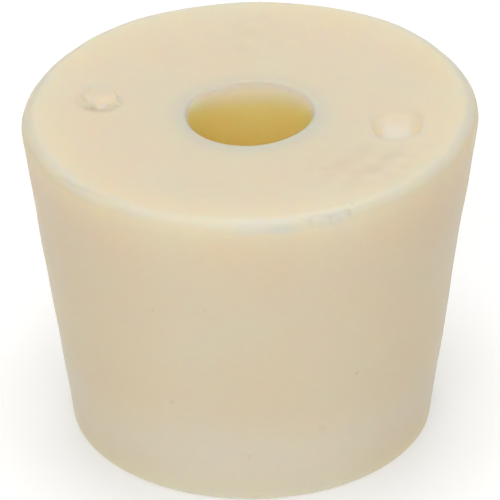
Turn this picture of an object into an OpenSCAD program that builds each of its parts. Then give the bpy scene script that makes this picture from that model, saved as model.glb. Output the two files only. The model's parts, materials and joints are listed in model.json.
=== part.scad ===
// One-hole rubber stopper: a tapered plug moulded in gum rubber, with a straight bore
// along its axis. Every edge is rounded, and the large end sinks a little towards the
// bore, as thick rubber does when it cools. That end carries two shallow gate wells,
// opposite each other, and one of them keeps the torn pip where the gate broke away.
// The plug stands on its small end, with the origin at the centre of that face, +Z up.

/* [Plug] */
// Diameter of the large end, where the side would meet a level top face
top_d = 34; // [30:0.5:46]
// Diameter of the small end, where the side would meet the bottom face
bottom_d = 27; // [18:0.5:32]
// Height of the plug from its bottom face to the top of its rim
height = 25.8; // [12:0.1:60]
// How far the large end sinks from its rim to the bore's mouth
dish = 0.45; // [0:0.05:1.2]

/* [Edges] */
// Radius that rounds the rim of the large end
rim_r = 1.1; // [0.3:0.1:2.5]
// Radius that rounds the foot of the small end
foot_r = 0.3; // [0.1:0.1:1.5]
// Radius that rounds both mouths of the bore
mouth_r = 0.2; // [0.1:0.1:1.2]

/* [Bore] */
// Diameter of the bore that takes the tube
bore_d = 9.4; // [3:0.1:12]

/* [Gate wells] */
// Diameter of each well where it breaks the top face
well_d = 3.7; // [1.5:0.1:5]
// Depth of each well below the top face
well_depth = 0.7; // [0.3:0.1:1.2]
// Distance of each well's centre from the axis
well_pitch_r = 11.4; // [9:0.1:12.5]
// Direction of the clean well, counted round +Z from +X
well_turn = -12; // [-180:1:180]

/* [Torn pip] */
// Diameter of the pip where it leaves the floor of its well
pip_d = 1.7; // [0.8:0.1:1.8]
// Height of the pip above the floor of its well
pip_h = 0.9; // [0.6:0.1:1.5]
// Angle that the pip leans towards the axis
pip_lean = 24; // [0:1:35]

/* [Hidden] */

$fn = 96;

top_r = top_d / 2;
bottom_r = bottom_d / 2;
bore_r = bore_d / 2;

// Half angle of the taper: the side's outward normal points this far below level
taper = atan((top_r - bottom_r) / height);

// Radii of the circles that the corner roundings turn about. The rim's and the foot's
// circles touch both the side and a level end; the mouth's touches the bore's wall.
rim_turn_r = top_r - rim_r * (1 + sin(taper)) / cos(taper);
foot_turn_r = bottom_r - foot_r * (1 - sin(taper)) / cos(taper);
mouth_turn_r = bore_r + mouth_r;

// Slope of the dished end, which falls in a straight line from the rim to the mouth
slope = atan(dish / (rim_turn_r - mouth_turn_r));

// Height of a line that runs beside the dished end, a set distance below it, where it
// passes a given radius
function below_top(depth, r) =
    height - rim_r + (rim_r - depth + (r - rim_turn_r) * sin(slope)) / cos(slope);

// Every rounded corner of the half section, counter-clockwise from the bore's lower
// mouth: centre, radius, and the angles at which its arc starts and ends
CORNERS = [
    [[mouth_turn_r, mouth_r], mouth_r, 180, 270],
    [[foot_turn_r, foot_r], foot_r, 270, 360 - taper],
    [[rim_turn_r, height - rim_r], rim_r, -taper, 90 + slope],
    [[mouth_turn_r, below_top(mouth_r, mouth_turn_r)], mouth_r, 90 + slope, 180]
];

// Radius of the ball whose cap is a well of the given diameter and depth, and the
// height of the face at the wells
well_ball_r = (pow(well_d / 2, 2) + pow(well_depth, 2)) / (2 * well_depth);
well_z = below_top(0, well_pitch_r);

// The pip stands in the well opposite the clean one, starts this far inside the rubber
// and narrows to this share of its width
pip_turn = well_turn + 180;
pip_root = 0.4;
pip_tip_r = 0.72 * pip_d / 2;

// Point of a corner's arc at an angle
function on_arc(corner, angle) = corner[0] + corner[1] * [cos(angle), sin(angle)];

// Half section of the plug, x out from the axis and y up: straight runs between the
// arcs, and a circle at each rounded corner
module half_section() {
    polygon([for (corner = CORNERS) for (angle = [corner[2], corner[3]]) on_arc(corner, angle)]);
    for (corner = CORNERS)
        translate(corner[0])
            circle(r = corner[1]);
}

// A place on the dished end at the wells' distance from the axis
module at_well(turn) {
    rotate([0, 0, turn])
        translate([well_pitch_r, 0, well_z])
            children();
}

// Cap of a ball, which leaves a dished well with a crisp rim
module gate_well(turn) {
    at_well(turn)
        translate([0, 0, well_ball_r - well_depth])
            sphere(r = well_ball_r);
}

// Stump of rubber with a rounded tip, which leans towards the axis
module torn_pip(turn) {
    at_well(turn)
        translate([0, 0, -well_depth])
            rotate([0, -pip_lean, 0]) {
                translate([0, 0, -pip_root])
                    cylinder(r1 = pip_d / 2, r2 = pip_tip_r, h = pip_root + pip_h - pip_tip_r);
                translate([0, 0, pip_h - pip_tip_r])
                    sphere(r = pip_tip_r);
            }
}

// The stopper, one moulded solid
module stopper() {
    color("#e0d2b9")
        union() {
            difference() {
                rotate_extrude()
                    half_section();
                gate_well(well_turn);
                gate_well(pip_turn);
            }
            torn_pip(pip_turn);
        }
}

stopper();
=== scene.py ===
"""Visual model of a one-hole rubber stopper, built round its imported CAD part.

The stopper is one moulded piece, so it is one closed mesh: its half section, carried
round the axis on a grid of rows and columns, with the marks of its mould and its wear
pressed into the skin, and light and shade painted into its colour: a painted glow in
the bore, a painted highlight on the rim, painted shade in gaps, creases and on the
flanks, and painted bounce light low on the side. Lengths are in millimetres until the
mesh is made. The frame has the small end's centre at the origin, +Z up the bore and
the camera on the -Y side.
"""

import json
import logging
import math
from dataclasses import dataclass, field
from enum import Enum

import bpy
import numpy as np
from mathutils import Matrix, Vector


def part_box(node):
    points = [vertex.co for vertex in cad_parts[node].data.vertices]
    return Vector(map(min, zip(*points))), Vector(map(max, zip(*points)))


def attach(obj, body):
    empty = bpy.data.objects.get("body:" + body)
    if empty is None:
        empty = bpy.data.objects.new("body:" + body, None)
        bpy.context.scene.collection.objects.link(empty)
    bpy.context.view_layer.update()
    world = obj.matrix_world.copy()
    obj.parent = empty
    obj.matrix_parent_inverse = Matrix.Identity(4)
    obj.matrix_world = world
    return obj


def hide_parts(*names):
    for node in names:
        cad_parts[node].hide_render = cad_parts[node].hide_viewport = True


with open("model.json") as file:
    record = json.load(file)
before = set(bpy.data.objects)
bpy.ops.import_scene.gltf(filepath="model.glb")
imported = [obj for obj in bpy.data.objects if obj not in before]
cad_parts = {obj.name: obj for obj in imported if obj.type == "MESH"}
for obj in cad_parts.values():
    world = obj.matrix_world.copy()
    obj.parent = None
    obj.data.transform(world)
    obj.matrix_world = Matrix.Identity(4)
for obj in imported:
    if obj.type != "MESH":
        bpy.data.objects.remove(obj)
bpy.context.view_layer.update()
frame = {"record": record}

MM = 0.001
# Degrees between columns where no mark needs them closer.
COARSE = 1.35
log = logging.getLogger("stopper")


# --- Helpers ---


def linear(hex_colour: str) -> tuple[float, float, float, float]:
    """Turns an sRGB hex colour into the linear RGBA that a shader takes.

    Args:
        hex_colour: six hex digits with a leading #.

    Returns:
        Red, green, blue and an alpha of 1. Each channel c becomes c / 12.92 in the dark
        tail, and ((c + 0.055) / 1.055) to the power 2.4 above it.
    """
    shares = [int(hex_colour[i : i + 2], 16) / 255 for i in (1, 3, 5)]
    rgb = [c / 12.92 if c <= 0.04045 else ((c + 0.055) / 1.055) ** 2.4 for c in shares]
    return (*rgb, 1.0)


def step(x: np.ndarray, low: float, high: float) -> np.ndarray:
    """Smooth step: 0 below low, 1 above high, and 3t^2 - 2t^3 of the share t between.

    Args:
        x: values to test.
        low: where the step starts to rise.
        high: where it is full; below low, the step falls instead.

    Returns:
        The step's height at each value.
    """
    share = np.clip((x - low) / (high - low), 0.0, 1.0)
    return share * share * (3.0 - 2.0 * share)


def bell(x: np.ndarray, width: float) -> np.ndarray:
    """Bell curve of height 1 at 0: e to the power minus the square of x over width."""
    return np.exp(-((x / width) ** 2))


def soft_max(a: np.ndarray, b: np.ndarray, blend: np.ndarray | float) -> np.ndarray:
    """The larger of two heights, with the crease between them rounded.

    Args:
        a: first height.
        b: second height.
        blend: how far apart the heights are where the rounding fades.

    Returns:
        Half of a + b + the root of (a - b)^2 + blend^2.
    """
    return 0.5 * (a + b + np.sqrt((a - b) ** 2 + blend**2))


def turn_apart(turn: np.ndarray, centre: float) -> np.ndarray:
    """Signed degrees from a centre direction to each direction, from -180 to 180."""
    return (turn - centre + 180.0) % 360.0 - 180.0


def spread(path: np.ndarray, pitch: np.ndarray, count: int) -> np.ndarray:
    """Places stations along a path so that their spacing follows a wanted pitch.

    Args:
        path: rising positions, from the path's start to its end.
        pitch: wanted spacing at each position, only its proportions counting.
        count: how many stations, the first at the start and none at the end.

    Returns:
        The stations: the running total of 1 / pitch is cut into equal shares, and each
        share's position is read back off the path.
    """
    crowd = 1.0 / pitch
    total = np.concatenate([[0.0], np.cumsum(0.5 * (crowd[1:] + crowd[:-1]) * np.diff(path))])
    return np.interp(np.arange(count) / count * total[-1], total, path)


@dataclass(frozen=True)
class Ripple:
    """A smooth random surface: cosine waves of one length in many directions.

    Attributes:
        length: wavelength in millimetres.
        seed: seed of the directions and phases.
        waves: how many waves are added.
    """

    length: float
    seed: int
    waves: int = 24

    def at(self, points: np.ndarray) -> np.ndarray:
        """Reads the surface's height, about 1 from crest to mean, at points.

        Args:
            points: array whose last axis is x, y, z.

        Returns:
            The sum of cos(k . p + phase) over the waves, times the root of 2 / waves.
        """
        rng = np.random.default_rng(self.seed)
        ways = rng.normal(size=(self.waves, 3))
        ways /= np.linalg.norm(ways, axis=1, keepdims=True)
        stretch = rng.uniform(0.75, 1.35, size=(self.waves, 1))
        phases = rng.uniform(0.0, 2.0 * math.pi, size=self.waves)
        turns = points @ (ways * stretch * (2.0 * math.pi / self.length)).T
        return np.cos(turns + phases).sum(axis=-1) * math.sqrt(2.0 / self.waves)

    def along(self, path: np.ndarray) -> np.ndarray:
        """Reads the surface on a straight line, at distances along it."""
        return self.at(np.stack([path, 0.0 * path, 0.0 * path], axis=-1))


# --- The plug ---


@dataclass(frozen=True)
class Corner:
    """One rounded corner of the half section: its circle, and its arc's ends in radians."""

    centre_r: float
    centre_z: float
    radius: float
    start: float
    end: float

    def at(self, angle: np.ndarray | float) -> np.ndarray:
        """Radius and height at angles: the centre plus the radius times cos and sin."""
        around = np.stack([np.cos(angle), np.sin(angle)], axis=-1)
        return around * self.radius + [self.centre_r, self.centre_z]


@dataclass(frozen=True)
class RowPitch:
    """Millimetres between the grid's rows, least on the corners and at the gate wells.

    A corner's arc adds a share of its radius. A straight run starts with the edge's pitch
    and gains most of the growth within the ease, but no more than the end's pitch on the
    large end. Past the wells' middle the rows widen again between two distances.
    """

    arc: float = 0.04
    arc_share: float = 0.045
    edge: float = 0.09
    growth: float = 0.75
    ease: float = 2.5
    end: float = 0.3
    well: float = 0.055
    past_well: tuple[float, float] = (2.0, 3.2)


@dataclass
class PlugSection:
    """Half section of the plug: straight runs between four rounded corners.

    Attributes:
        height: from the bottom face to the top of the rim.
        bore_r: radius of the bore.
        top_r: radius where the side would meet a level top face.
        bottom_r: radius where the side would meet the bottom face.
        dish: how far the large end sinks from its rim to the bore.
        rim_r: radius of the rim's rounding.
        foot_r: radius of the foot's rounding.
        mouth_r: radius of both mouths' rounding.
        pitch: spacing of the grid's rows.
        taper: half angle of the side, in radians.
        slope: slope of the dished end, in radians.
    """

    height: float
    bore_r: float
    top_r: float = 17.0
    bottom_r: float = 13.5
    dish: float = 0.45
    rim_r: float = 1.1
    foot_r: float = 0.3
    mouth_r: float = 0.2
    pitch: RowPitch = RowPitch()
    taper: float = field(init=False)
    slope: float = field(init=False)

    def __post_init__(self) -> None:
        """Works out the two angles."""
        self.taper = math.atan((self.top_r - self.bottom_r) / self.height)
        self.slope = math.atan(self.dish / (self.rim_turn_r - self.mouth_turn_r))

    @property
    def rim_turn_r(self) -> float:
        """Radius at the centre of the rim's rounding."""
        return self.top_r - self.rim_r * (1 + math.sin(self.taper)) / math.cos(self.taper)

    @property
    def foot_turn_r(self) -> float:
        """Radius at the centre of the foot's rounding."""
        return self.bottom_r - self.foot_r * (1 - math.sin(self.taper)) / math.cos(self.taper)

    @property
    def mouth_turn_r(self) -> float:
        """Radius at the centre of each mouth's rounding."""
        return self.bore_r + self.mouth_r

    def side_point(self, turn: float, level: float) -> tuple[float, float, float]:
        """A point on the side, in metres.

        Args:
            turn: its direction in degrees.
            level: its height in millimetres.

        Returns:
            Its x, y and z.
        """
        radius = self.bottom_r + level * math.tan(self.taper)
        way = math.radians(turn)
        return (radius * math.cos(way) * MM, radius * math.sin(way) * MM, level * MM)

    def corners(self) -> list[Corner]:
        """Works out the rounded corners.

        Returns:
            The corners, counter-clockwise from the bore's lower mouth. The dished end's
            line leaves the rim's rounding at a tangent and meets the upper mouth's.
        """
        quarter = math.pi / 2
        up = quarter + self.slope
        rim_z = self.height - self.rim_r
        run = (self.mouth_turn_r - self.rim_turn_r) * math.sin(self.slope)
        mouth_z = rim_z + (self.rim_r - self.mouth_r + run) / math.cos(self.slope)
        foot_end = 4 * quarter - self.taper
        return [
            Corner(self.mouth_turn_r, self.mouth_r, self.mouth_r, 2 * quarter, 3 * quarter),
            Corner(self.foot_turn_r, self.foot_r, self.foot_r, 3 * quarter, foot_end),
            Corner(self.rim_turn_r, rim_z, self.rim_r, -self.taper, up),
            Corner(self.mouth_turn_r, mouth_z, self.mouth_r, up, 2 * quarter),
        ]

    def outline(self) -> tuple[np.ndarray, np.ndarray]:
        """Samples the closed section finely.

        Returns:
            Radius and height of each sample, and the pitch wanted there.
        """
        run_points, arc_points = 400, 120
        points, pitches = [], []
        corners = self.corners()
        for corner, following in zip(corners, corners[1:] + corners[:1]):
            arc = corner.at(np.linspace(corner.start, corner.end, arc_points))
            run = np.linspace(arc[-1], following.at(following.start), run_points + 2)[1:-1]
            arc_pitch = self.pitch.arc + self.pitch.arc_share * corner.radius
            points += [arc, run]
            pitches += [np.full(arc_points, arc_pitch), self.run_pitch(run)]
        closed = np.concatenate(points + [points[0][:1]])
        return closed, np.concatenate(pitches + [pitches[0][:1]])

    def run_pitch(self, run: np.ndarray) -> np.ndarray:
        """Pitch wanted on a straight run: fine at the gate wells and near the corners.

        Args:
            run: radius and height of the samples of one run.

        Returns:
            Millimetres between rows at each sample.
        """
        along = np.linalg.norm(run - run[0], axis=1)
        to_end = np.minimum(along, along[-1] - along)
        wanted = self.pitch
        pitch = wanted.edge + wanted.growth * (1.0 - np.exp(-to_end / wanted.ease))
        on_large_end = run[:, 1].min() > 0.9 * self.height
        if on_large_end:
            widening = step(np.abs(run[:, 0] - GateWell.pitch_r), *wanted.past_well)
            pitch = wanted.well + (np.minimum(pitch, wanted.end) - wanted.well) * widening
        return pitch


# --- Marks on the skin ---


class Tint(Enum):
    """The layers over the rubber's own colour, each an attribute of the mesh. Besides real wear
    and grime, they carry painted light and shade: painted glow, painted highlights, painted shade
    and painted bounce light.
    """

    FRESH_AND_PAINTED_LIGHT = "fresh_and_painted_light"
    BLOOM = "bloom_and_painted_light"
    PAINTED_GLOW = "painted_glow"
    SOIL_AND_SHADE = "soil_and_shade"
    DEPTH = "bore_depth"


@dataclass
class Skin:
    """The plain skin of the plug, and what its marks add to it.

    Attributes:
        points: place of each grid point, rows by columns by 3.
        outward: normal of the plain skin at each point.
        turn: direction of each column, in degrees.
        over_rim: path of each row from the rim's inner edge, outwards and then down.
        lift: how far the marks raise the skin along its normal.
        tints: amount of each layer, from 0 to 1.
    """

    points: np.ndarray
    outward: np.ndarray
    turn: np.ndarray
    over_rim: np.ndarray
    lift: np.ndarray = field(init=False)
    tints: dict[Tint, np.ndarray] = field(init=False)

    def __post_init__(self) -> None:
        """Starts with no lift and no tints."""
        self.lift = np.zeros(self.points.shape[:2])
        self.tints = {layer: np.zeros(self.points.shape[:2]) for layer in Tint}

    @property
    def radius(self) -> np.ndarray:
        """Distance of each point from the axis."""
        return np.hypot(self.points[..., 0], self.points[..., 1])

    @property
    def outer(self) -> np.ndarray:
        """1 further out than half the largest radius, and 0 within it."""
        return self.radius > 0.5 * self.radius.max()

    @property
    def side(self) -> np.ndarray:
        """1 on the tapered side and 0 past its two edges."""
        return step(np.abs(self.outward[..., 2]), 0.8, 0.4) * self.outer

    @property
    def large_end(self) -> np.ndarray:
        """1 on the large end's face and 0 past its two edges."""
        high = self.points[..., 2] > 0.5 * self.points[..., 2].max()
        return step(self.outward[..., 2], 0.6, 0.9) * high

    def add_tint(self, layer: Tint, amount: np.ndarray) -> None:
        """Lays a tint on, each point keeping the stronger of the old and the new."""
        self.tints[layer] = np.maximum(self.tints[layer], np.clip(amount, 0.0, 1.0))

    def along(self, centre: float, radius: float) -> np.ndarray:
        """Distance of each column from a direction, along a circle of a radius."""
        return np.radians(turn_apart(self.turn, centre)) * radius


@dataclass(frozen=True)
class Spot:
    """An oval place on the skin: its centre, and its reaches to where it fades to 1 / e."""

    u: float
    v: float
    reach_u: float
    reach_v: float

    def on(self, u: np.ndarray, v: np.ndarray) -> np.ndarray:
        """Strength at places: a bell of the distance from the centre, counted in reaches."""
        return bell(np.hypot((u - self.u) / self.reach_u, (v - self.v) / self.reach_v), 1.0)


@dataclass(frozen=True, kw_only=True)
class Mark:
    """A mark that can be pressed into the skin.

    Attributes:
        turn: direction of its middle from the axis, in degrees round +Z from +X.
        half_width: how far it reaches to each side, in degrees.
        pitch: degrees between columns that it needs.
    """

    turn: float = 0.0
    half_width: float = 0.0
    pitch: float = COARSE

    def press(self, skin: Skin) -> None:
        """Adds the mark's lift and tints to the skin."""
        raise NotImplementedError


@dataclass(frozen=True)
class GateWell(Mark):
    """A shallow dished well that the mould's gate leaves in the large end.

    Attributes:
        pitch_r: distance of its centre from the axis.
        radius: half its width at the face.
        stretch: how much further it runs behind its centre than in front.
        squareness: 2 for a round outline, more for a squarer one.
        depth: below the face, at its centre.
        lip: height of the bead round it.
        soft: rounding of its edge at the back.
        dimple: depth of the small pit in its floor.
        pit: place of that pit.
        corner: place of the painted glow in the corner on its right, which the left mirrors.
    """

    half_width: float = 11.0
    pitch: float = 0.26
    pitch_r: float = 11.4
    radius: float = 1.85
    stretch: float = 1.3
    squareness: float = 2.4
    depth: float = 0.52
    lip: float = 0.02
    soft: float = 0.35
    dimple: float = 0.05
    pit: Spot = Spot(0.0, 0.4, 0.2, 0.2)
    corner: Spot = Spot(1.36, -0.05, 0.28, 0.42)

    def local(self, skin: Skin) -> tuple[np.ndarray, np.ndarray]:
        """Counts places from the well's centre.

        Args:
            skin: the skin that the well is in.

        Returns:
            Places of the grid points along X and along Y.
        """
        turn = math.radians(self.turn)
        x, y = skin.points[..., 0], skin.points[..., 1]
        return x - self.pitch_r * math.cos(turn), y - self.pitch_r * math.sin(turn)

    def outwards(self, u: np.ndarray, v: np.ndarray) -> np.ndarray:
        """Distance from the well's centre, in radii of its squarish outline.

        Args:
            u: places along X from the well's centre.
            v: places along Y from the well's centre.

        Returns:
            The sum of |u|^n and |v|^n to the power 1 / n, over the radius, n being the
            squareness and v being shortened first where it lies behind the centre.
        """
        n, drawn_in = self.squareness, np.where(v > 0.0, v / self.stretch, v)
        return (np.abs(u) ** n + np.abs(drawn_in) ** n) ** (1.0 / n) / self.radius

    def bowl(self, share: np.ndarray, v: np.ndarray) -> np.ndarray:
        """Height of the face with the well in it.

        Args:
            share: distance from the centre, in radii.
            v: places along Y from the well's centre.

        Returns:
            A low bead round the well, less the depth times 1 - share^2.6 inside it. The
            edge is crisp at the front and eases into the face behind.
        """
        crisp = 0.04
        rounding = crisp + (self.soft - crisp) * step(v, -0.4, 1.5)
        dish = self.depth * (1.0 - share**2.6)
        bead = self.lip * bell((share - 1.0) * self.radius - 0.3, 0.3)
        return bead - soft_max(dish, np.zeros_like(dish), rounding)

    def press(self, skin: Skin) -> None:
        """Sinks the well, and paints light in it: pale inside, with a painted glow in two corners.

        Args:
            skin: the skin to press.
        """
        u, v = self.local(skin)
        share = self.outwards(u, v)
        face = skin.large_end
        skin.lift += face * (self.bowl(share, v) - self.dimple * self.pit.on(u, v))
        inside = step(share, 1.04, 0.8)
        floor = step(np.abs(u + 0.05), 1.35, 0.6) * step(v, 1.9, 0.2)
        brink = bell(share - 1.16, 0.09) * step(v, 0.2, -0.9)
        # Painted light: the well is paled inside against its own shading, most on its floor, with
        # a grey-blue cast there; painted glow lies in its corners, and a thin line of painted
        # shade runs along the near edge in front.
        skin.add_tint(Tint.FRESH_AND_PAINTED_LIGHT, face * inside * (0.4 + 0.6 * floor))
        skin.add_tint(Tint.BLOOM, face * inside * 0.12 * floor)
        skin.add_tint(Tint.PAINTED_GLOW, face * 0.3 * self.corner.on(np.abs(u), v))
        skin.add_tint(Tint.SOIL_AND_SHADE, face * 0.05 * brink)


@dataclass(frozen=True)
class TornWell(GateWell):
    """The gate well that keeps a torn pip, level with the face and joined to it behind.

    Attributes:
        pip_at: centre of the disc that the pip fills, from the well's centre.
        pip_r: radius of that disc.
        rise: height of the torn top above the face.
        curl_r: radius of the thin curl on the pip's left shoulder.
        hole: the pit that the curl runs round.
        nick: the deep nick at the pip's near corner.
        bridge: the strand that joins the pip to the face beside that corner.
        clear: the patch of the torn top that light passes through.
        strip: the band of the well's wall in front of the pip, paled as painted light.
    """

    radius: float = 1.8
    stretch: float = 1.0
    squareness: float = 2.0
    depth: float = 0.28
    soft: float = 0.15
    pip_at: tuple[float, float] = (0.25, 0.5)
    pip_r: float = 1.15
    rise: float = 0.03
    curl_r: float = 0.66
    hole: Spot = Spot(-0.78, 1.48, 0.26, 0.26)
    nick: Spot = Spot(-0.42, -0.72, 0.24, 0.24)
    bridge: Spot = Spot(-1.1, -1.05, 0.4, 0.4)
    clear: Spot = Spot(0.5, 0.15, 0.5, 0.55)
    strip: Spot = Spot(0.1, -0.85, 0.4, 0.13)

    def press(self, skin: Skin) -> None:
        """Sinks the well, stands the pip in it, and adds its curl, pit, nick and strand.

        The pip is a rough table that slopes away outside a ragged disc, and runs on
        behind, where it joins the face.

        Args:
            skin: the skin to press.
        """
        u, v = self.local(skin)
        share = self.outwards(u, v)
        flat = np.stack([u, v, np.zeros_like(u)], axis=-1)
        ragged = 0.07 * Ripple(1.1, 11).at(flat) + 0.03 * Ripple(0.45, 12).at(flat)
        past = np.hypot(u - self.pip_at[0], v - self.pip_at[1]) - self.pip_r + ragged
        table = self.rise + 0.02 * Ripple(1.3, 13).at(flat) + 0.01 * Ripple(0.5, 14).at(flat)
        table = table * step(np.hypot(u, v), 2.5, 1.7)
        behind = 0.5 * step(v - 0.4 * u, 0.6, 1.6)
        pip = table - (1.0 - behind) * np.maximum(past - behind, 0.0)
        face = skin.large_end
        skin.lift += face * soft_max(self.bowl(share, v), pip, 0.06)
        curl_u, curl_v = u - self.hole.u, v - self.hole.v
        curl = np.hypot(curl_u, curl_v)
        ridge = bell(curl - self.curl_r, 0.17) * step(curl_v + 0.8 * curl_u, -0.25, 0.25)
        hole, nick, bridge = self.hole.on(u, v), self.nick.on(u, v), self.bridge.on(u, v)
        skin.lift += face * (0.04 * ridge + 0.1 * bridge - 0.05 * hole - 0.14 * nick)
        gap = step(past, 0.0, 0.3) * step(share, 1.05, 0.9)
        near_gap = gap * step(v + 0.4 * np.abs(u + 0.2), -0.3, -0.9)
        torn = step(past, 0.1, -0.5) * step(v, 1.1, 0.1)
        clear, strip = self.clear.on(u, v), self.strip.on(u, v)
        # Painted shade darkens the near gap, the nick and the pit, and grey is painted over the
        # shaded gap and nick; painted light pales the curl's ridge and the band in front, and the
        # clear patch takes a painted glow. The torn top is paler.
        skin.add_tint(Tint.SOIL_AND_SHADE, face * (0.09 * near_gap + 0.15 * nick + 0.1 * hole))
        skin.add_tint(Tint.BLOOM, face * (0.15 * gap + 0.4 * nick + 0.2 * ridge))
        skin.add_tint(Tint.FRESH_AND_PAINTED_LIGHT, face * (0.2 * torn + 0.25 * clear + 0.4 * strip))
        skin.add_tint(Tint.PAINTED_GLOW, face * 0.12 * clear)


@dataclass(frozen=True)
class RimScar(Mark):
    """The bruise on the front of the rim: a ragged tear with creases, a nib and a notch.

    Places run along the rim to the right, and over it outwards from its inner edge.

    Attributes:
        radius: of the circle that its lengths are counted on.
        creases: places along the rim of its two creases.
        nib: the small crumb that stands up.
        notch: the cut beside the nib.
        speck: the dark dot past the notch.
    """

    turn: float = -70.0
    half_width: float = 10.0
    pitch: float = 0.27
    radius: float = 16.4
    creases: tuple[float, float] = (-1.37, 0.11)
    nib: Spot = Spot(1.12, 1.0, 0.13, 0.42)
    notch: Spot = Spot(1.63, 0.95, 0.16, 0.3)
    speck: Spot = Spot(2.09, 0.2, 0.14, 0.14)

    def press(self, skin: Skin) -> None:
        """Cuts the tear along the rim's inner edge and the creases across its rounding.

        Args:
            skin: the skin to press.
        """
        along, over = skin.along(self.turn, self.radius), skin.over_rim
        edge = 0.35 + 0.37 * step(along, -2.9, -1.6) + 0.13 * step(along, 2.2, 3.4)
        edge = edge + 0.05 * Ripple(1.6, 31).along(along) + 0.03 * Ripple(0.6, 32).along(along)
        ends, middle = step(np.abs(along), 6.0, 5.0), step(np.abs(along + 0.1), 2.6, 1.7)
        reach = 0.35 * ends + 0.65 * middle
        tear = reach * bell(over - edge, 0.1) * (0.75 + 0.25 * Ripple(0.9, 33).along(along))
        across = step(over, 0.45, 0.75) * step(over, 1.7, 1.3)
        bend = 0.15 * (over - 1.0)
        left, right = self.creases
        creases = bell(along - left - bend, 0.12) + 0.8 * bell(along - right + bend, 0.12)
        nib, notch = self.nib.on(along, over), self.notch.on(along, over)
        speck = self.speck.on(along, over)
        dent = reach * bell(over - 1.1, 0.55) * Ripple(1.2, 34).along(along)
        cut = 0.035 * tear + 0.025 * across * creases + 0.05 * notch + 0.04 * speck
        skin.lift += 0.045 * nib + 0.012 * dent - cut
        # Painted shade darkens the tear, the creases and the notch; the speck is a dark dot, and
        # the nib is paler.
        soil_and_shade = 0.13 * tear + 0.1 * across * creases + 0.16 * notch + 0.25 * speck
        skin.add_tint(Tint.SOIL_AND_SHADE, soil_and_shade)
        skin.add_tint(Tint.FRESH_AND_PAINTED_LIGHT, 0.5 * nib)


@dataclass(frozen=True)
class RimCrease(Mark):
    """A fine wavy crease at the rim's inner edge, with a fainter one on the side below."""

    turn: float = -138.5
    half_width: float = 12.0
    pitch: float = 0.5
    radius: float = 16.4

    def press(self, skin: Skin) -> None:
        """Cuts both creases, and raises a soft ridge that slants between them.

        Args:
            skin: the skin to press.
        """
        along, over = skin.along(self.turn, self.radius), skin.over_rim
        line = 0.62 - 0.065 * along + 0.05 * Ripple(2.2, 41).along(along)
        upper = bell(over - line, 0.12) * step(np.abs(along), 3.6, 2.0)
        past = along + 2.7
        ridge = bell(over - 1.45 + 0.225 * past, 0.16) * step(np.abs(past), 2.6, 1.4)
        lower = bell(over - 3.1 - 0.1 * Ripple(2.6, 42).along(along), 0.2)
        lower = lower * step(np.abs(along), 2.2, 1.2)
        skin.lift += 0.02 * ridge - 0.025 * upper - 0.015 * lower
        # Painted shade darkens both creases, and a painted highlight pales the ridge between them.
        skin.add_tint(Tint.SOIL_AND_SHADE, 0.1 * upper + 0.05 * lower)
        skin.add_tint(Tint.BLOOM, 0.35 * ridge)


@dataclass(frozen=True)
class RimBloomAndHighlight(Mark):
    """A whitish band on the rim's rounding: partly a chalky film where handling polishes wax to
    the surface, partly a painted highlight, strongest along the front.

    Attributes:
        stops: directions, each with the band's inner and outer edge and its strength.
    """

    stops: tuple[tuple[float, float, float, float], ...] = (
        (-180.0, 0.15, 1.4, 0.35),
        (-155.0, 0.0, 1.3, 0.45),
        (-125.0, 0.05, 1.3, 0.45),
        (-108.0, 0.15, 1.05, 0.3),
        (-97.0, 0.25, 1.15, 0.4),
        (-84.0, 0.35, 1.6, 0.62),
        (-71.0, 0.45, 1.65, 0.62),
        (-57.0, 0.4, 1.4, 0.35),
        (-40.0, 0.25, 1.4, 0.4),
        (-25.0, 0.2, 1.4, 0.5),
        (180.0, 0.25, 1.4, 0.35),
    )

    def press(self, skin: Skin) -> None:
        """Tints the band, its edges and strength read between the stops, and a weak tail.

        Args:
            skin: the skin to press.
        """
        over = skin.over_rim + 0.06 * Ripple(4.0, 51).at(skin.points)
        turns, *columns = np.array(self.stops).T
        inner, outer, share = [np.interp(turn_apart(skin.turn, 0.0), turns, c) for c in columns]
        band = step(over, inner - 0.2, inner + 0.22) * step(over, outer + 0.4, outer - 0.25)
        broad, fine = Ripple(3.2, 52).at(skin.points), Ripple(1.1, 53).at(skin.points)
        cloud = 0.85 + 0.12 * broad + 0.06 * fine
        tail = 0.22 * step(over, -0.7, 0.4) * step(over, 3.8, 1.2)
        # Painted highlight over the chalky film.
        skin.add_tint(Tint.BLOOM, np.maximum(band * share, tail) * cloud)


@dataclass(frozen=True)
class SideRipples(Mark):
    """Faint slanting ripples on the side, where the rubber dragged on the mould.

    Attributes:
        level: height of their middle.
        radius: of the circle that their lengths are counted on.
        length: from one crest to the next.
        relief: height of a crest.
        patch: how far they reach along the side and up it.
    """

    turn: float = -34.0
    half_width: float = 8.0
    pitch: float = 0.7
    level: float = 17.0
    radius: float = 15.8
    length: float = 1.3
    relief: float = 0.012
    patch: Spot = Spot(0.0, 0.0, 1.8, 2.2)

    def press(self, skin: Skin) -> None:
        """Presses the ripples: cosines whose crests rise to the right.

        Args:
            skin: the skin to press.
        """
        along, up = skin.along(self.turn, self.radius), skin.points[..., 2] - self.level
        patch = skin.side * self.patch.on(along, up)
        waver = Ripple(3.0, 81).at(skin.points)
        wave = np.cos(2.0 * math.pi / self.length * (0.75 * along - 0.66 * up) + waver)
        skin.lift += self.relief * patch * wave
        # Painted shade darkens the troughs.
        skin.add_tint(Tint.SOIL_AND_SHADE, 0.06 * patch * np.maximum(-wave, 0.0))


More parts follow.
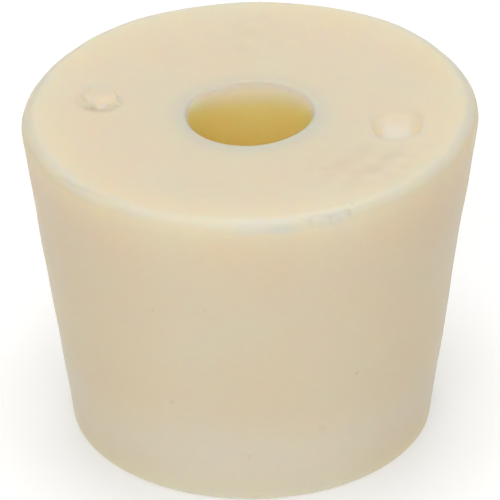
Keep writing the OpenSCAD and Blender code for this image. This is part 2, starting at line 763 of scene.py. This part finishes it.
@dataclass(frozen=True)
class BounceLitFoot(Mark):
    """The side near the small end, paler: painted bounce light from the floor.

    Attributes:
        fades: height where the paling ends.
        full: height below which it is full.
    """

    fades: float = 9.0
    full: float = 3.5

    def press(self, skin: Skin) -> None:
        """Pales the side, but not the bottom face.

        Args:
            skin: the skin to press.
        """
        low = step(skin.points[..., 2], self.fades, self.full)
        side = step(skin.outward[..., 2], -0.9, -0.5) * low * skin.outer
        # Painted bounce light, paler and greyer towards the small end.
        skin.add_tint(Tint.BLOOM, 0.2 * side)
        skin.add_tint(Tint.FRESH_AND_PAINTED_LIGHT, 0.5 * side)


@dataclass(frozen=True, kw_only=True)
class ShadedFlank(Mark):
    """A flank a little darker and warmer than the front: painted shade on the side's limb.

    Attributes:
        soil_and_shade: how much painted shade darkens it.
        full: degrees from its middle where it starts to fade.
        fades: degrees from its middle where it has faded.
    """

    soil_and_shade: float
    full: float = 25.0
    fades: float = 75.0

    def press(self, skin: Skin) -> None:
        """Paints shade on the side, darker and warmer.

        Args:
            skin: the skin to press.
        """
        shaded = skin.side * step(np.abs(turn_apart(skin.turn, self.turn)), self.fades, self.full)
        # Painted shade on the limb, darker and warmer.
        skin.add_tint(Tint.SOIL_AND_SHADE, self.soil_and_shade * shaded)
        skin.add_tint(Tint.PAINTED_GLOW, 0.5 * self.soil_and_shade * shaded)


@dataclass(frozen=True, kw_only=True)
class WornPatch(Mark):
    """A patch of the large end whose skin is finely roughened.

    Attributes:
        centre_r: distance of its middle from the axis.
        reach: its half widths along X and Y.
        relief: height of its roughness.
        soil_and_shade: how much the patch is dulled.
        seed: seed of its roughness.
        length: of the roughness.
    """

    centre_r: float
    reach: tuple[float, float]
    relief: float
    soil_and_shade: float
    seed: int
    length: float = 1.7

    def press(self, skin: Skin) -> None:
        """Roughens and dulls the patch, fading at an oval edge.

        Args:
            skin: the skin to press.
        """
        way = math.radians(self.turn)
        oval = Spot(self.centre_r * math.cos(way), self.centre_r * math.sin(way), *self.reach)
        fade = skin.large_end * oval.on(skin.points[..., 0], skin.points[..., 1])
        rough = Ripple(self.length, self.seed).at(skin.points)
        skin.lift += self.relief * fade * rough
        skin.add_tint(Tint.SOIL_AND_SHADE, self.soil_and_shade * fade * (0.7 + 0.5 * rough))


@dataclass(frozen=True, kw_only=True)
class BoreWall(Mark):
    """The bore: a painted glow down its wall, rings from the core pin, and a greyed mouth.

    Attributes:
        bore_r: radius of the bore.
        height: of the plug at the bore.
        full: depth at which the wall's colour stops changing.
        ahead: how far the colour runs ahead of the depth at the bore's two sides, as painted
            shade.
        relief: height of the rings.
    """

    bore_r: float
    height: float
    full: float = 6.0
    ahead: float = 0.9
    relief: float = 0.012

    def press(self, skin: Skin) -> None:
        """Records the depth as a share, greys the mouth and turns the rings.

        The colour runs ahead at the sides by the square of the cosine of the direction,
        so the front and back walls keep the mouth's cream longer: painted shade at the sides
        and painted light on the far wall. The grey is a soft ring on both faces round the
        bore, and a thin line on the lip that is painted shade over the mouth's rounding.

        Args:
            skin: the skin to press.
        """
        z, radius = skin.points[..., 2], skin.radius
        depth = np.minimum(self.height - z, z)
        inside = step(radius, self.bore_r + 0.2, self.bore_r + 0.1)
        aside = np.cos(np.radians(skin.turn)) ** 2
        ahead = self.ahead * aside * step(depth, 0.0, 0.5)
        # The depth share drives the wall's painted glow; its lead at the sides is painted shade.
        skin.add_tint(Tint.DEPTH, inside * (depth + ahead) / self.full)
        ring = bell(radius - self.bore_r - 0.7, 0.55) * (1.0 - inside)
        lip = bell(radius - self.bore_r - 0.1, 0.18) * step(depth, 0.7, 0.2)
        # The lip line is painted shade over the mouth's rounding.
        skin.add_tint(Tint.SOIL_AND_SHADE, 0.06 * ring + 0.06 * lip)
        skin.add_tint(Tint.BLOOM, 0.11 * ring + 0.06 * lip)
        # Painted glow, in streaks and more at the sides.
        streak = 0.5 + 0.35 * Ripple(1.6, 62).along(z) + 0.2 * Ripple(3.0, 63).at(skin.points)
        painted_glow = step(depth, 0.8, 2.4) * (0.05 * streak + 0.04 * aside)
        skin.add_tint(Tint.PAINTED_GLOW, inside * painted_glow)
        wall = step(radius, self.bore_r + 0.2, self.bore_r)
        skin.lift += self.relief * wall * Ripple(1.1, 61).along(z)


# --- The stopper ---


@dataclass
class Stopper:
    """The moulded stopper: its section, the marks on its skin and its mesh.

    Attributes:
        section: half section of the plug.
        slant: rise of the large end for each millimetre towards +X.
        rows: stations round the section.
        columns: stations round the axis.
        spread_out: degrees beside a mark in which the columns spread out again.
        marks: everything that is pressed into the skin.
    """

    section: PlugSection
    slant: float = 0.0256
    rows: int = 200
    columns: int = 499
    spread_out: float = 6.0
    marks: list[Mark] = field(init=False)

    def __post_init__(self) -> None:
        """Lists the marks in the order that they are pressed."""
        self.marks = [
            BoreWall(bore_r=self.section.bore_r, height=self.section.height - self.section.dish),
            GateWell(turn=-15.7, pitch_r=11.27),
            TornWell(turn=169.9, pitch_r=11.38),
            RimBloomAndHighlight(),
            RimScar(),
            RimCrease(),
            SideRipples(),
            BounceLitFoot(),
            ShadedFlank(turn=0.0, soil_and_shade=0.2),
            ShadedFlank(turn=180.0, soil_and_shade=0.2),
        ]
        patches = (
            (21.0, 13.2, (1.9, 3.0), 0.012, 0.03, 71),
            (90.0, 11.0, (2.6, 4.0), 0.01, 0.05, 72),
            (-52.0, 10.5, (1.6, 0.9), 0.009, 0.09, 73),
            (-45.0, 12.5, (4.0, 3.2), 0.006, 0.11, 75),
            (-107.0, 11.6, (2.4, 1.8), 0.009, 0.05, 74),
        )
        self.marks += [
            WornPatch(turn=turn, centre_r=radius, reach=reach, relief=relief, soil_and_shade=soil_and_shade, seed=seed)
            for turn, radius, reach, relief, soil_and_shade, seed in patches
        ]

    def section_stations(self) -> tuple[np.ndarray, np.ndarray, np.ndarray]:
        """Rows of the grid.

        Returns:
            Radius and height of each row, its outward normal, which is the section's
            direction turned a quarter turn clockwise, and its path over the rim.
        """
        outline, pitch = self.section.outline()
        lengths = np.linalg.norm(np.diff(outline, axis=0), axis=1)
        along = np.concatenate([[0.0], np.cumsum(lengths)])
        stations = spread(along, pitch, self.rows)
        nudge = 0.01
        place, ahead, behind = [
            np.stack([np.interp(stations + offset, along, outline[:, i]) for i in (0, 1)], axis=1)
            for offset in (0.0, nudge, -nudge)
        ]
        way = ahead - behind
        normal = np.stack([way[:, 1], -way[:, 0]], axis=1)
        normal /= np.linalg.norm(normal, axis=1, keepdims=True)
        rim = self.section.corners()[2]
        nearest = np.argmin(np.linalg.norm(outline - rim.at(rim.end), axis=1))
        return place, normal, along[nearest] - stations

    def column_angles(self) -> np.ndarray:
        """Columns of the grid.

        Returns:
            Their angles in radians: each mark has its own pitch, which eases out to the
            coarse pitch on both sides.
        """
        samples = 7201
        angles = np.linspace(0.0, 360.0, samples)
        pitch = np.full_like(angles, COARSE)
        for mark in self.marks:
            away = np.abs(turn_apart(angles, mark.turn))
            ease = step(away, mark.half_width, mark.half_width + self.spread_out)
            pitch = np.minimum(pitch, mark.pitch + (COARSE - mark.pitch) * ease)
        return np.radians(spread(angles, pitch, self.columns))

    def skin(self) -> Skin:
        """Carries the section round the axis and presses the marks into it.

        Returns:
            The skin. A point is (radius cos, radius sin, height) of its row and column,
            moved along its normal by slow undulations that leave the bottom face flat.
        """
        place, normal, over_rim = self.section_stations()
        angle = self.column_angles()
        cos, sin, one = np.cos(angle), np.sin(angle), np.ones_like(angle)
        points, outward = [
            np.stack([half[:, :1] * cos, half[:, :1] * sin, half[:, 1:] * one], axis=-1)
            for half in (place, normal)
        ]
        skin = Skin(points, outward, np.degrees(angle)[None, :], over_rim[:, None])
        swell = 0.035 * Ripple(13.0, 1).at(points) + 0.012 * Ripple(4.5, 2).at(points)
        skin.lift += swell * step(points[..., 2], 0.3, 3.0)
        for mark in self.marks:
            mark.press(skin)
        return skin

    def build(self) -> bpy.types.Object:
        """Makes the mesh: a closed grid with faces outwards and smooth shading.

        Returns:
            The stopper's object at the origin, its large end slanted a little, with one
            attribute for each tint.
        """
        skin = self.skin()
        points = skin.points + skin.outward * skin.lift[..., None]
        points[..., 2] *= 1.0 + self.slant * points[..., 0] / self.section.height
        rows, columns = points.shape[:2]
        index = np.arange(rows * columns).reshape(rows, columns)
        below, right = np.roll(index, -1, axis=0), np.roll(index, -1, axis=1)
        across = np.roll(below, -1, axis=1)
        quads = np.stack([index, right, across, below], axis=-1).reshape(-1, 4)
        mesh = bpy.data.meshes.new("rubber_stopper")
        mesh.from_pydata(points.reshape(-1, 3) * MM, [], quads)
        mesh.polygons.foreach_set("use_smooth", np.ones(len(quads), dtype=bool))
        for layer, amount in skin.tints.items():
            stored = mesh.attributes.new(layer.value, "FLOAT", "POINT")
            stored.data.foreach_set("value", amount.astype(np.float32).ravel())
        mesh.update()
        piece = bpy.data.objects.new("rubber_stopper", mesh)
        bpy.context.scene.collection.objects.link(piece)
        return piece


# --- Finishes ---


class Shader:
    """A material's node tree, filled one node at a time."""

    def __init__(self, name: str) -> None:
        """Starts an empty material.

        Args:
            name: of the material.
        """
        self.material = bpy.data.materials.new(name)
        self.material.use_nodes = True
        self.tree = self.material.node_tree
        self.tree.nodes.clear()

    def node(
        self, kind: str, settings: dict[str, object] | None = None, **inputs: object
    ) -> bpy.types.Node:
        """Adds a node with its settings and links.

        Args:
            kind: Blender's name for the node type.
            settings: the node's own properties.
            inputs: socket values or output sockets, by the socket's name with spaces as
                underscores, or i0, i1 and so on for a socket by its place.

        Returns:
            The new node.
        """
        made = self.tree.nodes.new(kind)
        for name, value in (settings or {}).items():
            setattr(made, name, value)
        for name, value in inputs.items():
            by_place = name[0] == "i" and name[1:].isdigit()
            socket = made.inputs[int(name[1:]) if by_place else name.replace("_", " ")]
            if isinstance(value, bpy.types.NodeSocket):
                self.tree.links.new(value, socket)
            else:
                socket.default_value = value
        return made


@dataclass(frozen=True)
class Pock:
    """A tiny flaw on the side: its direction, height, radius, depth and how much it darkens.

    One with a depth below 0 stands proud.
    """

    turn: float
    level: float
    reach: float
    depth: float
    dark: float


POCKS = (
    Pock(-99.7, 11.9, 0.35, -0.03, 0.0),
    Pock(-58.8, 10.6, 0.25, 0.05, 0.25),
    Pock(-113.6, 8.65, 0.3, 0.05, 0.17),
    Pock(-69.0, 6.3, 0.45, 0.05, 0.1),
    Pock(-116.9, 17.0, 0.25, 0.04, 0.15),
    Pock(-102.2, 17.8, 0.25, 0.04, 0.15),
    Pock(-36.5, 18.1, 0.3, -0.03, 0.0),
    Pock(-91.0, 4.3, 0.22, 0.04, 0.2),
    Pock(151.0, 13.5, 0.3, 0.05, 0.15),
    Pock(62.0, 8.0, 0.35, 0.04, 0.12),
    Pock(104.0, 18.5, 0.25, 0.04, 0.2),
)


@dataclass(frozen=True)
class GumRubber:
    """Natural gum rubber, press moulded: cream, satin and a little translucent.

    Light soaks some millimetres into it, so edges glow softly, and the light that comes
    back out of the bore's wall has lost its blue; that glow is also painted into the colour,
    as the painted glow. The chalky film of wax and sulphur on worn edges shares its colour
    with the painted highlight on the rim and the grey painted over shaded gaps, and the
    grey of handling in nicks and scuffs shares its colour with painted shade in gaps,
    creases and nicks and on the flanks. Natural rubber refracts at 1.52, and a polished
    mould leaves it satin. Red light goes 8 mm through it, green 5 and blue 2.2.

    Attributes:
        skin: the rubber's usual tone.
        warm: the tone of its warmer clouds.
        fresh_and_painted_light: colour of skin that is sheltered from wear, and of painted light
            inside the wells, on the low side and on lit places of the marks.
        bloom_and_painted_light: colour of the chalky film, and of the rim's painted highlight and
            the grey painted over shaded gaps.
        painted_glow: painted glow, the colour where the light has soaked through.
        soil_and_shade: colour of handling grime, and of painted shade in gaps, creases and nicks
            and on the flanks.
        wall: depth in the bore as a share, and the colour there, from the mouth down; a painted
            glow.
    """

    skin: str = "#e0d6bb"
    warm: str = "#e2d4b7"
    fresh_and_painted_light: str = "#eee6cf"
    bloom_and_painted_light: str = "#cbd0d1"
    painted_glow: str = "#ffd97c"
    soil_and_shade: str = "#a89a80"
    wall: tuple[tuple[float, str], ...] = (
        (0.0, "#e6dcc8"),
        (0.04, "#ebe3e0"),
        (0.1, "#f6ece8"),
        (0.17, "#fff2e8"),
        (0.27, "#fff0dc"),
        (0.37, "#ffefbc"),
        (0.5, "#ffeeaa"),
        (1.0, "#ffed99"),
    )

    def build(self, section: PlugSection) -> bpy.types.Material:
        """Makes the rubber's material.

        Args:
            section: places the flaws on the side.

        Returns:
            The material.
        """
        shader = Shader("gum_rubber")
        place = shader.node("ShaderNodeTexCoord").outputs["Object"]
        layers = {
            layer: shader.node(
                "ShaderNodeAttribute", {"attribute_name": layer.value}
            ).outputs["Fac"]
            for layer in Tint
        }
        # Clouds 7 mm across in the tone, from uneven mixing and ageing.
        clouds = shader.node(
            "ShaderNodeTexNoise", Vector=place, Scale=1.0 / (7.0 * MM), Detail=4.0
        ).outputs[0]
        cloudy = shader.node(
            "ShaderNodeMapRange", Value=clouds, From_Min=0.38, From_Max=0.62
        ).outputs[0]
        # The bore's wall takes a painted glow by depth: pale cream near the mouth, deep yellow
        # further down.
        wall = shader.node("ShaderNodeValToRGB", Fac=layers[Tint.DEPTH])
        elements = wall.color_ramp.elements
        while len(elements) < len(self.wall):
            elements.new(1.0)
        for element, (share, tone) in zip(elements, self.wall):
            element.position, element.color = share, linear(tone)
        in_bore = shader.node(
            "ShaderNodeMapRange", Value=layers[Tint.DEPTH], From_Min=0.005, From_Max=0.05
        ).outputs[0]
        pits, pit_darkening = self.flaws(shader, place, section)
        # Each tone lies over the colour so far, as much as its layer shows.
        coats = (
            (linear(self.warm), cloudy),
            (wall.outputs["Color"], in_bore),
            (linear(self.fresh_and_painted_light), layers[Tint.FRESH_AND_PAINTED_LIGHT]),
            (linear(self.bloom_and_painted_light), layers[Tint.BLOOM]),
            (linear(self.painted_glow), layers[Tint.PAINTED_GLOW]),
            (linear(self.soil_and_shade), layers[Tint.SOIL_AND_SHADE]),
            (linear(self.soil_and_shade), pit_darkening),
        )
        colour = linear(self.skin)
        for tone, amount in coats:
            colour = shader.node(
                "ShaderNodeMix", {"data_type": "RGBA"}, i0=amount, i6=colour, i7=tone
            ).outputs[2]
        rubber = shader.node(
            "ShaderNodeBsdfPrincipled", {"subsurface_method": "RANDOM_WALK"},
            Base_Color=colour, Roughness=0.45, IOR=1.52, Subsurface_Weight=1.0,
            Subsurface_Radius=(8.0, 5.0, 2.2), Subsurface_Scale=MM,
            Normal=self.grain(shader, place, pits),
        )
        shader.node("ShaderNodeOutputMaterial", Surface=rubber.outputs[0])
        return shader.material

    def flaws(
        self, shader: Shader, place: bpy.types.NodeSocket, section: PlugSection
    ) -> tuple[bpy.types.NodeSocket, bpy.types.NodeSocket]:
        """Adds up the tiny flaws on the side.

        Args:
            shader: the tree to add to.
            place: socket of the object coordinates.
            section: gives the side's radius at each flaw.

        Returns:
            Sockets of the height that they add, in metres, and of how much they darken.
        """
        height, soil_and_shade = 0.0, 0.0
        for pock in POCKS:
            gap = shader.node(
                "ShaderNodeVectorMath", {"operation": "DISTANCE"},
                i0=place, i1=section.side_point(pock.turn, pock.level),
            ).outputs["Value"]
            near = shader.node(
                "ShaderNodeMapRange", {"interpolation_type": "SMOOTHSTEP"},
                Value=gap, From_Min=pock.reach * MM, From_Max=0.0,
            ).outputs[0]
            height, soil_and_shade = [
                shader.node(
                    "ShaderNodeMath", {"operation": "MULTIPLY_ADD"}, i0=near, i1=amount, i2=total
                ).outputs[0]
                for amount, total in ((-pock.depth * MM, height), (pock.dark, soil_and_shade))
            ]
        return height, soil_and_shade

    def grain(
        self, shader: Shader, place: bpy.types.NodeSocket, pits: bpy.types.NodeSocket
    ) -> bpy.types.NodeSocket:
        """Bumps the surface.

        Args:
            shader: the tree to add to.
            place: socket of the object coordinates.
            pits: socket of the height that the flaws add, in metres.

        Returns:
            Socket of the normal: the mould's fine grain, 0.3 mm long, over soft dapples
            1.6 mm long, over the flaws. A mould's grain is finer, about 0.05 mm, and is
            drawn coarse enough to show.
        """
        height = pits
        for length, relief in ((1.6, 0.012), (0.3, 0.003)):
            noise = shader.node(
                "ShaderNodeTexNoise", Vector=place, Scale=1.0 / (length * MM), Detail=2.0
            ).outputs[0]
            height = shader.node(
                "ShaderNodeMath", {"operation": "MULTIPLY_ADD"},
                i0=noise, i1=relief * MM, i2=height,
            ).outputs[0]
        return shader.node("ShaderNodeBump", Strength=1.0, Distance=1.0, Height=height).outputs[0]


@dataclass(frozen=True)
class LitAcrylic:
    """White acrylic sheet over a light table: matt, even, and glowing a little."""

    tone: str = "#e7e7e7"
    glow: float = 0.315

    def build(self) -> bpy.types.Material:
        """Makes the floor's material.

        Returns:
            The material.
        """
        shader = Shader("white_acrylic")
        sheet = shader.node(
            "ShaderNodeBsdfPrincipled", Base_Color=linear(self.tone), Roughness=0.7,
            Emission_Color=(1.0, 1.0, 1.0, 1.0), Emission_Strength=self.glow,
        )
        shader.node("ShaderNodeOutputMaterial", Surface=sheet.outputs[0])
        return shader.material


# --- Studio ---


@dataclass(frozen=True)
class Lamp:
    """A square soft light: its name, place and side in metres, and power in watts."""

    name: str
    place: tuple[float, float, float]
    side: float
    watts: float


@dataclass
class Studio:
    """Pale floor, soft light and the camera.

    Attributes:
        aim: point that the camera and the lamps look at, in metres.
        distance: from the aim to the camera, in metres.
        elevation: of the camera, in degrees.
        roll: of the camera, in degrees.
        lens: focal length on a 36 mm sensor.
        shift: offset of the picture in widths of it.
        sky: brightness of the room overhead.
        wall: sines of the angles above the horizon between which the pale wall fades.
        lamps: the soft lights.
    """

    aim: Vector
    distance: float = 0.51
    elevation: float = 31.33
    roll: float = 0.44
    lens: float = 490.6
    shift: tuple[float, float] = (-0.0017, 0.0137)
    sky: float = 0.15
    wall: tuple[float, float] = (0.045, 0.08)
    lamps: tuple[Lamp, ...] = (
        Lamp("overhead", (0.0, 0.0, 0.6), 0.4, 2.08),
        Lamp("back", (0.0, 0.5, 0.4), 0.4, 0.68),
        Lamp("front", (-0.06, -0.5, 0.45), 0.4, 1.2),
    )

    def camera(self) -> None:
        """Stands the camera on the -Y side, above the large end's level."""
        data = bpy.data.cameras.new("camera")
        data.lens = self.lens
        data.sensor_width = 36.0
        data.shift_x, data.shift_y = self.shift
        data.clip_start, data.clip_end = 0.05, 5.0
        camera = bpy.data.objects.new("camera", data)
        rise = math.radians(self.elevation)
        back = Vector((0.0, -math.cos(rise), math.sin(rise)))
        turn = (-back).to_track_quat("-Z", "Y").to_matrix().to_4x4()
        place = Matrix.Translation(self.aim + back * self.distance)
        camera.matrix_world = place @ turn @ Matrix.Rotation(-math.radians(self.roll), 4, "Z")
        bpy.context.scene.collection.objects.link(camera)
        bpy.context.scene.camera = camera

    def light(self, lamp: Lamp) -> None:
        """Hangs a soft light that faces the aim.

        Args:
            lamp: the light to hang.
        """
        data = bpy.data.lights.new(lamp.name, "AREA")
        data.size, data.energy = lamp.side, lamp.watts
        hung = bpy.data.objects.new(lamp.name, data)
        hung.location = lamp.place
        hung.rotation_euler = (self.aim - Vector(lamp.place)).to_track_quat("-Z", "Y").to_euler()
        bpy.context.scene.collection.objects.link(hung)

    def floor(self) -> None:
        """Lays the pale floor, a wide round disc just under the bottom face."""
        radius, drop, sides = 2.0, 0.00001, 96
        turns = np.linspace(0.0, 2.0 * math.pi, sides, endpoint=False)
        level = np.full(sides, -drop)
        ring = np.stack([radius * np.cos(turns), radius * np.sin(turns), level], axis=1)
        mesh = bpy.data.meshes.new("floor")
        mesh.from_pydata(ring, [], [list(range(sides))])
        mesh.materials.append(LitAcrylic().build())
        floor = bpy.data.objects.new("floor", mesh)
        bpy.context.scene.collection.objects.link(floor)

    def room(self) -> None:
        """Lights the room: dim overhead, with a pale wall low round the horizon."""
        world = bpy.data.worlds.new("studio")
        world.use_nodes = True
        tree = world.node_tree
        way = tree.nodes.new("ShaderNodeTexCoord")
        parts = tree.nodes.new("ShaderNodeSeparateXYZ")
        rise = tree.nodes.new("ShaderNodeMapRange")
        tree.links.new(way.outputs["Generated"], parts.inputs[0])
        tree.links.new(parts.outputs["Z"], rise.inputs["Value"])
        rise.inputs["From Min"].default_value, rise.inputs["From Max"].default_value = self.wall
        rise.inputs["To Min"].default_value = 1.0
        rise.inputs["To Max"].default_value = self.sky
        sky = tree.nodes["Background"]
        sky.inputs["Color"].default_value = (1.0, 1.0, 1.0, 1.0)
        tree.links.new(rise.outputs[0], sky.inputs["Strength"])
        bpy.context.scene.world = world

    def build(self) -> None:
        """Sets the whole studio up."""
        bpy.context.scene.view_settings.view_transform = "Standard"
        self.room()
        self.floor()
        for lamp in self.lamps:
            self.light(lamp)
        self.camera()


def main() -> None:
    """Builds the studio and the stopper, and reports the piece."""
    logging.basicConfig(level=logging.INFO, format="%(name)s: %(message)s")
    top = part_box("stopper")[1].z
    bore = next(mount for mount in frame["record"]["mounts"] if mount["name"] == "bore")
    section = PlugSection(height=top / MM, bore_r=bore["dims"]["r_mm"])
    Studio(aim=Vector((0.0, 0.0, top / 2))).build()
    piece = Stopper(section).build()
    piece.data.materials.append(GumRubber().build(section))
    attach(piece, "root")
    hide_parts("stopper")
    log.info("%s: %d faces", piece.name, len(piece.data.polygons))


if __name__ == "__main__":
    main()
